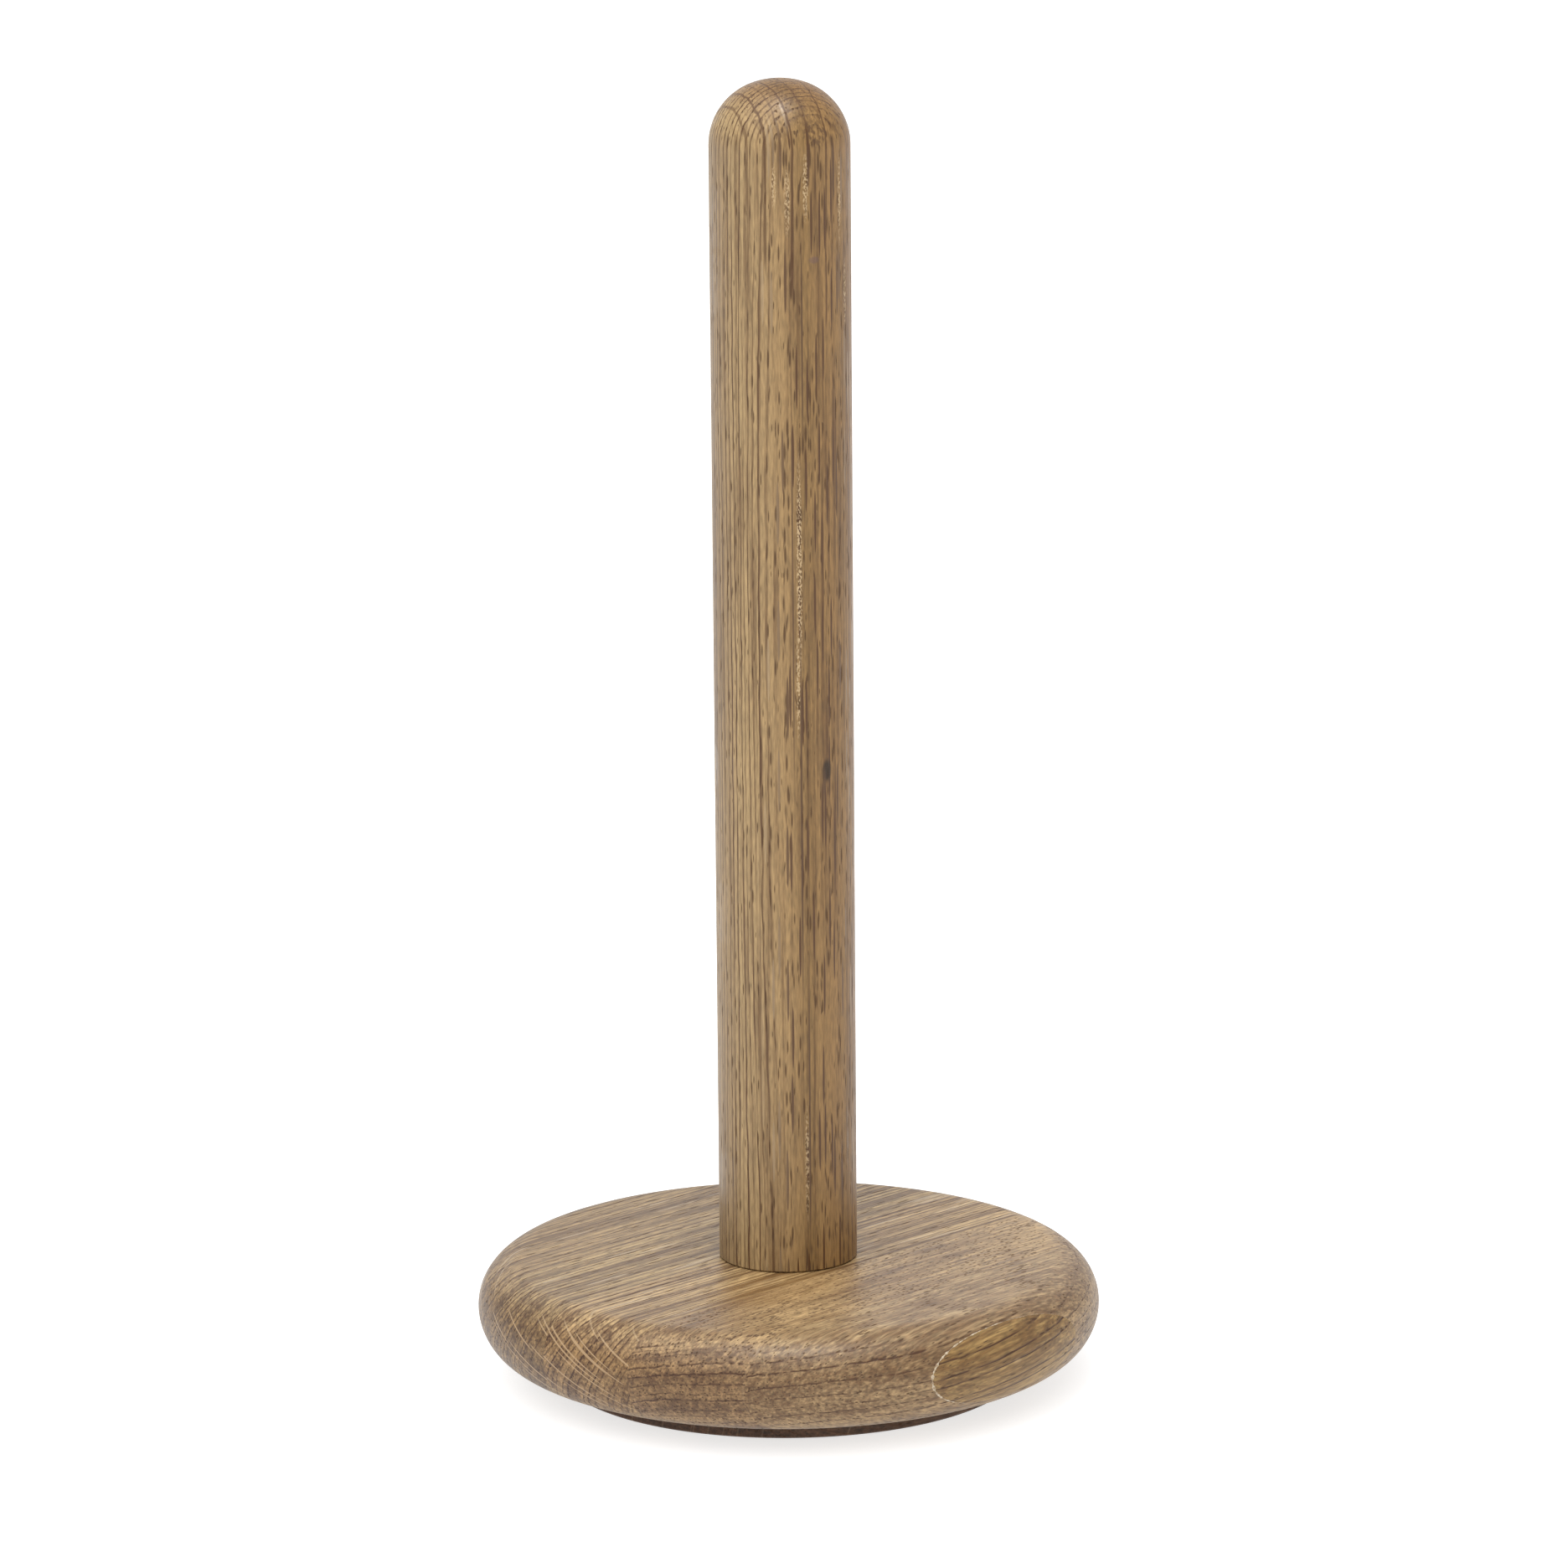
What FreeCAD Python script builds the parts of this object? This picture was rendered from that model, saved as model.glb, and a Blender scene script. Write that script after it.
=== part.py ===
"""Free-standing kitchen-roll holder in solid oak, as a FreeCAD macro.

A domed post is bolted to the middle of a round base, which is glued up from staves and turned with a full
round rim.
A smaller disc under the base hides the bolt, is held by four wood screws and stands on four rubber pads.

Origin: the middle of the underside, on the plane that the pads stand on. +Z is up, along the post.
Lengths are in millimetres.
The glued staves run along the grain, which is turned about +Z by grain_angle from +X.
"""
import FreeCAD, Part
import math
import os
import re
import Sketcher

# Driving dimensions, in millimetres and degrees: alias and value.
DRIVING = {
    "holder_height": 292.0,
    "post_dia": 31.0,
    "shoulder_inset": 1.2,
    "crown_gain": 3.7,
    "post_ease": 0.4,
    "spigot_dia": 20.0,
    "spigot_length": 8.0,
    "spigot_slack": 0.1,
    "spigot_end_gap": 0.3,
    "base_dia": 140.0,
    "base_thick": 22.0,
    "rim_top_round": 10.5,
    "grain_angle": 45.7,
    "middle_near": 17.1,
    "middle_far": 7.3,
    "near_sliver": 4.0,
    "far_sliver": 14.0,
    "foot_dia": 104.8,
    "foot_thick": 4.7,
    "foot_ease": 0.4,
    "pad_circle": 88.0,
    "pad_dia": 12.0,
    "pad_thick": 1.2,
    "pad_proud": 0.3,
    "pad_slack": 0.2,
    "bolt_dia": 8.0,
    "bolt_length": 40.0,
    "bolt_head_dia": 14.0,
    "bolt_head_thick": 4.4,
    "bolt_key": 5.0,
    "bolt_key_depth": 2.6,
    "bolt_hole_slack": 0.5,
    "bolt_tip_room": 3.0,
    "washer_dia": 16.0,
    "washer_thick": 1.6,
    "washer_slack": 0.2,
    "recess_slack": 1.0,
    "recess_room": 1.0,
    "insert_dia": 12.0,
    "insert_length": 15.0,
    "metal_slack": 0.05,
    "screw_circle": 76.0,
    "screw_dia": 3.5,
    "screw_head_dia": 7.0,
    "screw_length": 16.0,
    "screw_point": 4.0,
    "screw_slot_width": 1.0,
    "screw_slot_length": 4.0,
    "screw_slot_depth": 1.2,
    "screw_slack": 0.1,
}
NEAR_STAVES = 2
FAR_STAVES = 2
SCREW_COUNT = 4
PAD_COUNT = 4

# Sizes and places that follow from the driving ones, as expressions on their aliases.
FOOT_BOTTOM = "pad_proud"
BASE_BOTTOM = f"({FOOT_BOTTOM} + foot_thick)"
BASE_TOP = f"({BASE_BOTTOM} + base_thick)"
RIM_BOTTOM_ROUND = "(base_thick - rim_top_round)"
RIM_MIDDLE = f"({BASE_BOTTOM} + {RIM_BOTTOM_ROUND})"
SPIGOT_END = f"({BASE_TOP} - spigot_length)"
SOCKET_FLOOR = f"({SPIGOT_END} - spigot_end_gap)"
RECESS_DEPTH = "(bolt_head_thick + washer_thick + recess_room)"
RECESS_CEILING = f"({BASE_BOTTOM} + {RECESS_DEPTH})"
BOLT_SEAT = f"({RECESS_CEILING} - washer_thick)"
BOLT_END = f"({BOLT_SEAT} + bolt_length)"
INSERT_END = f"({SPIGOT_END} + insert_length)"

# The dome is two tangent arcs: a shoulder centred shoulder_inset from the axis, whose end is the post's wall,
# and a crown centred on the axis, whose radius is larger by crown_gain.
SHOULDER_RADIUS = "(post_dia / 2 - shoulder_inset)"
CROWN_RADIUS = f"({SHOULDER_RADIUS} + crown_gain)"
CROWN_DROP = "sqrt(crown_gain * crown_gain - shoulder_inset * shoulder_inset)"
DOME_START = f"(holder_height - {CROWN_RADIUS} + {CROWN_DROP})"
TANGENT_X = f"(shoulder_inset * {CROWN_RADIUS} / crown_gain)"
TANGENT_Z = f"({DOME_START} + {SHOULDER_RADIUS} * {CROWN_DROP} / crown_gain)"

MARGIN = 1.0  # how far a cutting tool runs past the face it starts from

doc = FreeCAD.newDocument("kitchen_roll_holder")
sizes = doc.addObject("Spreadsheet::Sheet", "Sizes")
for row, (alias, number) in enumerate(DRIVING.items(), start=1):
    sizes.set(f"A{row}", alias)
    sizes.set(f"B{row}", str(number))
    sizes.setAlias(f"B{row}", alias)
doc.recompute()

ALIASES = re.compile(r"\b(" + "|".join(DRIVING) + r")\b")


def value(expression):
    """The number that an expression on the aliases gives."""
    return float(sizes.evalExpression(expression))


def bind(target, path, expression):
    """Tie a property of an object to an expression on the aliases."""
    target.setExpression(path, ALIASES.sub(r"Sizes.\1", expression))


def new(kind, label, **bound):
    """A document object with its Label and its bound properties, such as Radius or Placement.Base.z."""
    made = doc.addObject(kind, label)
    made.Label = label
    for path, expression in bound.items():
        bind(made, path.replace("__", "."), expression)
    return made


def boolean(kind, label, base, tool):
    """A Part::Cut or Part::Common of two objects."""
    made = new(kind, label)
    made.Base = base
    made.Tool = tool
    return made


def line():
    """An edge of an outline that runs straight to the next corner."""
    return None


def arc(radius, centre_x, centre_y):
    """An edge of an outline that runs to the next corner round a centre, by less than half a turn."""
    return radius, centre_x, centre_y


def plane_sketch(body, label, role):
    """A sketch on one of the body's own origin planes."""
    sketch = body.newObject("Sketcher::SketchObject", label)
    plane = next(part for part in body.Origin.OriginFeatures if part.Role == role)
    sketch.AttachmentSupport = (plane, [""])
    sketch.MapMode = "FlatFace"
    return sketch


def arc_through(start, end, radius, centre):
    """The arc about a centre from start to end, by its middle point."""
    toward = FreeCAD.Vector((start + end) / 2 - centre)
    toward.normalize()
    return Part.Arc(start, centre + toward * radius, end)


def draw_outline(sketch, corners):
    """A closed outline. A corner is x, y and the edge that leaves it, and its expressions bind the sketch."""
    points = [FreeCAD.Vector(value(x), value(y), 0) for x, y, _ in corners]
    for index, (_, _, edge) in enumerate(corners):
        start, end = points[index], points[(index + 1) % len(points)]
        if edge is None:
            sketch.addGeometry(Part.LineSegment(start, end))
        else:
            radius, centre_x, centre_y = edge
            centre = FreeCAD.Vector(value(centre_x), value(centre_y), 0)
            sketch.addGeometry(arc_through(start, end, value(radius), centre))
    ends = [corner_ends(sketch, index, points[index]) for index in range(len(corners))]
    for index, (x, y, edge) in enumerate(corners):
        following = (index + 1) % len(corners)
        sketch.addConstraint(
            Sketcher.Constraint("Coincident", index, ends[index][1], following, ends[following][0]))
        if value(x) == 0:
            sketch.addConstraint(Sketcher.Constraint("PointOnObject", index, ends[index][0], -2))
        else:
            dimension(sketch, "DistanceX", index, ends[index][0], x)
        dimension(sketch, "DistanceY", index, ends[index][0], y)
        if edge is not None:
            added = sketch.addConstraint(Sketcher.Constraint("Radius", index, value(edge[0])))
            bind(sketch, f"Constraints[{added}]", edge[0])


def corner_ends(sketch, index, start):
    """Which end of an edge is its first and which its last: an arc is stored anticlockwise."""
    stored = sketch.Geometry[index].StartPoint
    return (1, 2) if stored.distanceToPoint(start) < 1e-6 else (2, 1)


def dimension(sketch, kind, index, end, expression):
    """A distance from the sketch's origin to one end of an edge, bound to its expression."""
    added = sketch.addConstraint(Sketcher.Constraint(kind, -1, 1, index, end, value(expression)))
    bind(sketch, f"Constraints[{added}]", expression)


def turned(label, corners):
    """A body turned about +Z from half its section, whose corners are radius and height."""
    body = new("PartDesign::Body", label)
    section = plane_sketch(body, f"{label}_section", "XZ_Plane")
    draw_outline(section, corners)
    revolution = body.newObject("PartDesign::Revolution", f"{label}_turning")
    revolution.Profile = section
    revolution.ReferenceAxis = (section, ["V_Axis"])
    revolution.Angle = 360.0
    body.Tip = revolution
    return body


def cylinder(label, radius, height, low, **place):
    """A Part::Cylinder on +Z, or beside it, that stands from the height low."""
    return new("Part::Cylinder", label, Radius=radius, Height=height, Placement__Base__z=low, **place)


def on_circle(circle, index, count, first_angle):
    """The place of one of several equal pieces on a circle, as bound properties."""
    angle = f"({first_angle} + {360.0 * index / count})"
    return {
        "Placement__Base__x": f"{circle} / 2 * cos({angle})",
        "Placement__Base__y": f"{circle} / 2 * sin({angle})",
    }


def group(label, pieces):
    """Separate solids that share one node."""
    made = new("Part::Compound", label)
    made.Links = pieces
    return made


def make_post():
    """The oak post: spigot, seat, straight wall, dome, and a stepped bore for the insert and the bolt."""
    bore = "insert_dia / 2 + metal_slack"
    tip_bore = "bolt_dia / 2 + bolt_hole_slack"
    tip_room = f"{BOLT_END} + bolt_tip_room"
    return turned("post", [
        (bore, SPIGOT_END, line()),
        ("spigot_dia / 2", SPIGOT_END, line()),
        ("spigot_dia / 2", BASE_TOP, line()),
        ("post_dia / 2 - post_ease", BASE_TOP, line()),
        ("post_dia / 2", f"{BASE_TOP} + post_ease", line()),
        ("post_dia / 2", DOME_START, arc(SHOULDER_RADIUS, "shoulder_inset", DOME_START)),
        (TANGENT_X, TANGENT_Z, arc(CROWN_RADIUS, "0", f"holder_height - {CROWN_RADIUS}")),
        ("0", "holder_height", line()),
        ("0", tip_room, line()),
        (tip_bore, tip_room, line()),
        (tip_bore, INSERT_END, line()),
        (bore, INSERT_END, line()),
    ])


def make_base_blank():
    """The glued base before it is divided: a full round rim, the spigot's socket and the bolt's hole."""
    socket = "spigot_dia / 2 + spigot_slack"
    clearance = "bolt_dia / 2 + bolt_hole_slack"
    recess = "washer_dia / 2 + recess_slack"
    flat_top = "base_dia / 2 - rim_top_round"
    flat_bottom = f"base_dia / 2 - {RIM_BOTTOM_ROUND}"
    return turned("base_turning", [
        (recess, BASE_BOTTOM, line()),
        (flat_bottom, BASE_BOTTOM, arc(RIM_BOTTOM_ROUND, flat_bottom, RIM_MIDDLE)),
        ("base_dia / 2", RIM_MIDDLE, arc("rim_top_round", flat_top, RIM_MIDDLE)),
        (flat_top, BASE_TOP, line()),
        (socket, BASE_TOP, line()),
        (socket, SOCKET_FLOOR, line()),
        (clearance, SOCKET_FLOOR, line()),
        (clearance, RECESS_CEILING, line()),
        (recess, RECESS_CEILING, line()),
    ])


def seam_places():
    """How far each glue plane lies from the axis, from beyond the rim's near side to beyond its far side.

    The middle stave holds the bolt and keeps its place. The staves on each side of it share what is left
    evenly, out to a last narrow piece whose own width is given.
    """
    rim = f"(base_dia / 2 + {MARGIN})"
    near_room = "(base_dia / 2 - near_sliver - middle_near)"
    far_room = "(base_dia / 2 - far_sliver - middle_far)"
    near = [f"(middle_near + {near_room} * {step} / {NEAR_STAVES})" for step in range(NEAR_STAVES, -1, -1)]
    far = [f"(-middle_far - {far_room} * {step} / {FAR_STAVES})" for step in range(FAR_STAVES + 1)]
    return [rim, *near, *far, f"(-{rim})"]


def make_staves():
    """The staves: strips of the base between glue planes that stand upright and run along the grain."""
    pilots = group("pilot_holes", [
        cylinder(f"pilot_hole_{index + 1}", "screw_dia / 2 + screw_slack", f"screw_length + {MARGIN}",
                 FOOT_BOTTOM, **on_circle("screw_circle", index, SCREW_COUNT, "grain_angle + 45"))
        for index in range(SCREW_COUNT)])
    panel = boolean("Part::Cut", "base_panel", make_base_blank(), pilots)
    seams = seam_places()
    staves = []
    for index, (near, far) in enumerate(zip(seams, seams[1:]), start=1):
        slab = new(
            "Part::Box", f"slab_{index}",
            Length=f"base_dia + {2 * MARGIN}", Width=f"{near} - {far}", Height=f"base_thick + {2 * MARGIN}",
            Placement__Rotation__Angle="grain_angle",
            Placement__Base__x=f"-(base_dia / 2 + {MARGIN}) * cos(grain_angle) + {near} * sin(grain_angle)",
            Placement__Base__y=f"-(base_dia / 2 + {MARGIN}) * sin(grain_angle) - {near} * cos(grain_angle)",
            Placement__Base__z=f"{BASE_BOTTOM} - {MARGIN}")
        staves.append(boolean("Part::Common", f"base_stave_{index}", panel, slab))
    return staves


def make_foot_disc():
    """The foot disc: flat, its lower edge eased, countersunk for its screws and recessed for its pads."""
    disc = turned("foot_turning", [
        ("0", FOOT_BOTTOM, line()),
        ("foot_dia / 2 - foot_ease", FOOT_BOTTOM, line()),
        ("foot_dia / 2", f"{FOOT_BOTTOM} + foot_ease", line()),
        ("foot_dia / 2", BASE_BOTTOM, line()),
        ("0", BASE_BOTTOM, line()),
    ])
    cutters = []
    for index in range(SCREW_COUNT):
        place = on_circle("screw_circle", index, SCREW_COUNT, "grain_angle + 45")
        cutters.append(new(
            "Part::Cone", f"countersink_{index + 1}", Radius1="screw_head_dia / 2 + screw_slack",
            Radius2="screw_dia / 2 + screw_slack", Height="(screw_head_dia - screw_dia) / 2",
            Placement__Base__z=FOOT_BOTTOM, **place))
        cutters.append(cylinder(f"screw_way_{index + 1}", "screw_dia / 2 + screw_slack",
                                f"foot_thick + {MARGIN}", FOOT_BOTTOM, **place))
    for index in range(PAD_COUNT):
        cutters.append(cylinder(f"pad_recess_{index + 1}", "pad_dia / 2 + pad_slack",
                                f"pad_thick - pad_proud + {MARGIN}", f"{FOOT_BOTTOM} - {MARGIN}",
                                **on_circle("pad_circle", index, PAD_COUNT, "grain_angle")))
    tools = new("Part::MultiFuse", "foot_cutters")
    tools.Shapes = cutters
    return boolean("Part::Cut", "foot_disc", disc, tools)


def make_pads():
    """The rubber pads that the holder stands on."""
    return group("anti_slip_pads", [
        cylinder(f"pad_{index + 1}", "pad_dia / 2", "pad_thick", "0",
                 **on_circle("pad_circle", index, PAD_COUNT, "grain_angle"))
        for index in range(PAD_COUNT)])


def make_foot_screws():
    """Countersunk wood screws, points up, each with a cross slot in its head. The threads aren't cut."""
    screws = []
    for index in range(1, SCREW_COUNT + 1):
        place = on_circle("screw_circle", index - 1, SCREW_COUNT, "grain_angle + 45")
        head = new("Part::Cone", f"screw_head_{index}", Radius1="screw_head_dia / 2", Radius2="screw_dia / 2",
                   Height="(screw_head_dia - screw_dia) / 2", Placement__Base__z=FOOT_BOTTOM, **place)
        shank = cylinder(f"screw_shank_{index}", "screw_dia / 2", "screw_length - screw_point",
                         FOOT_BOTTOM, **place)
        point = new("Part::Cone", f"screw_point_{index}", Radius1="screw_dia / 2", Radius2="0",
                    Height="screw_point", Placement__Base__z=f"{FOOT_BOTTOM} + screw_length - screw_point",
                    **place)
        solid = new("Part::MultiFuse", f"screw_solid_{index}")
        solid.Shapes = [head, shank, point]
        slot = new("Part::MultiFuse", f"screw_slot_{index}")
        slot.Shapes = [slot_bar(f"slot_{way}_{index}", way, place) for way in ("x", "y")]
        screws.append(boolean("Part::Cut", f"screw_{index}", solid, slot))
    return group("foot_screws", screws)


def slot_bar(label, way, place):
    """One bar of a screw's cross slot, along X or Y."""
    across, along = "screw_slot_width", "screw_slot_length"
    length, width = (along, across) if way == "x" else (across, along)
    return new("Part::Box", label, Length=length, Width=width, Height=f"screw_slot_depth + {MARGIN}",
               Placement__Base__x=f"{place['Placement__Base__x']} - {length} / 2",
               Placement__Base__y=f"{place['Placement__Base__y']} - {width} / 2",
               Placement__Base__z=f"{FOOT_BOTTOM} - {MARGIN}")


def make_centre_bolt():
    """The button-head bolt, head down, with a hexagon socket. Its thread isn't cut."""
    crown = f"{BOLT_SEAT} - bolt_head_thick"
    body = turned("centre_bolt", [
        ("0", crown, line()),
        ("bolt_key", crown, line()),
        ("bolt_head_dia / 2", f"{BOLT_SEAT} - bolt_head_thick / 3", line()),
        ("bolt_head_dia / 2", BOLT_SEAT, line()),
        ("bolt_dia / 2", BOLT_SEAT, line()),
        ("bolt_dia / 2", f"{BOLT_END} - bolt_dia / 8", line()),
        ("bolt_dia / 2 - bolt_dia / 8", BOLT_END, line()),
        ("0", BOLT_END, line()),
    ])
    solid_volume = volume_of(body)
    socket = plane_sketch(body, "bolt_socket_outline", "XY_Plane")
    bind(socket, "AttachmentOffset.Base.z", crown)
    hexagon(socket, "bolt_key")
    pocket = body.newObject("PartDesign::Pocket", "bolt_socket")
    pocket.Profile = socket
    pocket.Reversed = True
    bind(pocket, "Length", "bolt_key_depth")
    body.Tip = pocket
    if volume_of(body) >= solid_volume:
        raise RuntimeError("the bolt's socket cut nothing")
    return body


def hexagon(sketch, across_flats):
    """A regular hexagon about the sketch's origin, with its first corner on the sketch's X axis."""
    radius = value(across_flats) / math.sqrt(3)
    corners = [FreeCAD.Vector(radius * math.cos(math.radians(60 * turn)),
                              radius * math.sin(math.radians(60 * turn)), 0) for turn in range(6)]
    for index in range(6):
        sketch.addGeometry(Part.LineSegment(corners[index], corners[(index + 1) % 6]))
    for index in range(6):
        sketch.addConstraint(Sketcher.Constraint("Coincident", index, 2, (index + 1) % 6, 1))
    for index in range(1, 6):
        sketch.addConstraint(Sketcher.Constraint("Equal", 0, index))
    for index in range(1, 6, 2):
        sketch.addConstraint(Sketcher.Constraint("Distance", -1, 1, index, 1, radius))
        bind(sketch, f"Constraints[{sketch.ConstraintCount - 1}]", f"{across_flats} / sqrt(3)")
    sketch.addConstraint(Sketcher.Constraint("PointOnObject", 0, 1, -1))
    sketch.addConstraint(Sketcher.Constraint("PointOnObject", 3, 1, -1))


def volume_of(body):
    """The volume of a body after everything is worked out again."""
    doc.recompute()
    return body.Shape.Volume


def make_washer():
    """The washer between the bolt's head and the ceiling of the recess."""
    disc = cylinder("washer_disc", "washer_dia / 2", "washer_thick", BOLT_SEAT)
    hole = cylinder("washer_hole", "bolt_dia / 2 + washer_slack", f"washer_thick + {2 * MARGIN}",
                    f"{BOLT_SEAT} - {MARGIN}")
    return boolean("Part::Cut", "bolt_washer", disc, hole)


def make_insert():
    """The threaded insert, flush with the spigot's end. Its threads aren't cut."""
    shell = cylinder("insert_shell", "insert_dia / 2", "insert_length", SPIGOT_END)
    hole = cylinder("insert_hole", "bolt_dia / 2 + metal_slack", f"insert_length + {2 * MARGIN}",
                    f"{SPIGOT_END} - {MARGIN}")
    return boolean("Part::Cut", "threaded_insert", shell, hole)


def main():
    nodes = [make_post(), *make_staves(), make_foot_disc(), make_centre_bolt(), make_washer(), make_insert(),
             make_foot_screws(), make_pads()]
    doc.recompute()
    for made in doc.Objects:
        if {"Invalid", "Error"} & set(made.State):
            raise RuntimeError(f"{made.Label} failed: {made.State}")
    for node in nodes:
        if node.Shape.isNull() or not node.Shape.isValid() or not node.Shape.Solids:
            raise RuntimeError(f"{node.Label} has no valid solid")
    os.makedirs("parts", exist_ok=True)
    for node in nodes:
        node.Shape.exportStep(f"parts/{node.Label}.step")
        print(f"{node.Label}: {len(node.Shape.Solids)} solid, {node.Shape.Volume:.1f} cubic mm")


main()
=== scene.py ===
"""The looks of a paper towel holder: a domed oak post on a round oak base that is glued up from staves.

Run as a script in Blender. Metres; +Z is up along the post, and the floor is z = 0.
The post and the staves are turned afresh as fine surfaces; the fastenings, foot disc and pads keep their CAD
shapes. Boards are described in millimetres in their own axes: g along the grain, p along the log's radius and
q across both.
"""
import math
from functools import partial

import bmesh
import bpy
import numpy as np
from bpy.props import FloatProperty, FloatVectorProperty, IntProperty, PointerProperty
from mathutils import Matrix, Vector


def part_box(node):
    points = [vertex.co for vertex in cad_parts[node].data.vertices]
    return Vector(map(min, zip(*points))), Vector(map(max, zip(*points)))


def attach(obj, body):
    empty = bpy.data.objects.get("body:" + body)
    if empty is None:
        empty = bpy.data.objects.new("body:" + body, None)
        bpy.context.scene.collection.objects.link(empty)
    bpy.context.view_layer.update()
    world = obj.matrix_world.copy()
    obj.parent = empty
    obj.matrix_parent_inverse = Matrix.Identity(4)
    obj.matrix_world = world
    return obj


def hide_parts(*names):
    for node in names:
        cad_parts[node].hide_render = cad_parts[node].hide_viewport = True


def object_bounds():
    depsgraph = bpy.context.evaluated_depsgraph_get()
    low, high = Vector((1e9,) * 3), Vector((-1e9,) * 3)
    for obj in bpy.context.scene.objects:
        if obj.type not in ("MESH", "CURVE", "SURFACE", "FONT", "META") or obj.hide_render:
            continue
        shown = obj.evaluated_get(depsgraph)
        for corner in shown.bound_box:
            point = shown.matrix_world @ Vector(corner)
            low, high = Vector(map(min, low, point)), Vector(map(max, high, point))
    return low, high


bl_info = {
    "name": "Paper Towel Holder",
    "version": (1, 0, 0),
    "blender": (4, 5, 0),
    "location": "3D View > Sidebar > Towel Holder",
    "description": "Turned oak post and glued oak base with their fastenings, finishes, floor and lights",
    "category": "Object",
}

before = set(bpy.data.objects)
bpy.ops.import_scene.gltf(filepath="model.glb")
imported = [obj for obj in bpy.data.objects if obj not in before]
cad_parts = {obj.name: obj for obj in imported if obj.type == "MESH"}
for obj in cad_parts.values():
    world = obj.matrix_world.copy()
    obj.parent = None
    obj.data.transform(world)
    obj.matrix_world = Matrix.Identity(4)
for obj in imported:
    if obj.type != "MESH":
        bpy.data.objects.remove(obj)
CAD_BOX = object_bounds()
MM = 0.001
FULL_TURN = 2.0 * math.pi
SHARP_FROM = math.radians(28.0)  # edges that bend more than this stay sharp
UP = Vector((0.0, 0.0, 1.0))
GRAIN_TURN = math.radians(45.7)  # how far the base's grain is turned from +X
POST_TURN = 28.0  # how far the post's log radius is turned from the front, in degrees
GRAIN = Vector((math.cos(GRAIN_TURN), math.sin(GRAIN_TURN), 0.0))
ACROSS = Vector((math.sin(GRAIN_TURN), -math.cos(GRAIN_TURN), 0.0))
STAVES = [f"base_stave_{index}" for index in range(1, 8)]


def linear(code):
    """The linear red, green and blue of an sRGB hex colour such as #b08d62."""
    parts = np.array([int(code[place:place + 2], 16) for place in (1, 3, 5)]) / 255.0
    return tuple(np.where(parts <= 0.04045, parts / 12.92, ((parts + 0.055) / 1.055) ** 2.4).tolist())


def low_of(node):
    """The height of a node's lowest point."""
    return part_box(node)[0][2]


def high_of(node):
    """The height of a node's highest point."""
    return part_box(node)[1][2]


def radius_of(node):
    """Half a round node's width along X."""
    low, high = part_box(node)
    return (high[0] - low[0]) / 2.0


def field_of(items, field, width=3, kind=np.float64):
    """One field of all of a mesh's vertices, corners or faces, as an array with a row for each."""
    flat = np.empty(len(items) * width, dtype=kind)
    items.foreach_get(field, flat)
    return flat.reshape(-1, width)


def points_of(node):
    """The vertices of a CAD node as an array with a row for each."""
    return field_of(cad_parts[node].data.vertices, "co")


# ---- Sizes and colours ----


def length(name, description, default):
    """A size in metres that shows in the sidebar, from its default in millimetres."""
    return FloatProperty(name=name, description=description, default=default * MM, min=0.0, unit="LENGTH",
                         precision=5)


def colour(name, description, code):
    """A colour that shows in the sidebar, from its sRGB hex code."""
    return FloatVectorProperty(name=name, description=description, default=linear(code), size=3, min=0.0,
                               max=1.0, subtype="COLOR")


class HolderSizes(bpy.types.PropertyGroup):
    """Sizes of the turned shapes that the nodes' boxes don't give, and of the grain."""
    post_steps: IntProperty(name="Post steps", description="Flats once round the post", default=256, min=32)
    base_steps: IntProperty(name="Base steps", description="Flats once round the base", default=360, min=48)
    shoulder_inset: length("Shoulder inset", "How far the shoulder's arc is centred from the axis", 1.2)
    crown_gain: length("Crown gain", "How much larger the crown's radius is than the shoulder's", 3.7)
    post_ease: length("Post ease", "Bevel round the foot of the post", 0.4)
    spigot_radius: length("Spigot radius", "Radius of the post's spigot", 10.0)
    spigot_slack: length("Spigot slack", "Room round the spigot in its socket", 0.1)
    spigot_gap: length("Spigot gap", "Room below the end of the spigot", 0.3)
    rim_round: length("Rim round", "Radius of the upper half of the base's rim", 10.5)
    insert_slack: length("Insert slack", "Room round the threaded insert", 0.05)
    bolt_slack: length("Bolt slack", "Room round the bolt", 0.5)
    bolt_tip_room: length("Bolt tip room", "Room past the end of the bolt", 3.0)
    recess_slack: length("Recess slack", "Room round the washer", 1.0)
    glue_width: length("Glue width", "Widest half of the glue line round the sliver", 0.42)
    glue_proud: length("Glue proud", "How far the glue line stands out of the wood", 0.06)
    pore_width: length("Pore width", "Spacing of the open pores across the grain", 0.72)
    pore_length: length("Pore length", "Spacing of the open pores along the grain", 6.0)
    fibre_width: length("Fibre width", "Width of the fibre streaks", 0.8)


class HolderColours(bpy.types.PropertyGroup):
    """Main colours of the finishes."""
    pore: colour("Pore", "Open pores of the oak", "#442c15")
    ring: colour("Ring line", "Early wood at the start of a year's ring", "#4a2d14")
    ray_pale: colour("Pale ray", "Medullary rays on quartered faces and end grain", "#c0a986")
    ray_dark: colour("Dark ray", "Medullary rays on flat-sawn faces", "#4e3218")
    glue: colour("Glue", "Dried wood glue", "#b9ab94")
    zinc: colour("Zinc", "Zinc-plated steel", "#c3c6c9")
    brass: colour("Brass", "Turned brass", "#d6b36a")
    rubber: colour("Rubber", "Moulded rubber", "#2b2a29")
    floor: colour("Floor", "Frosted pale floor", "#bababa")


# ---- Shapes ----


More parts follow.
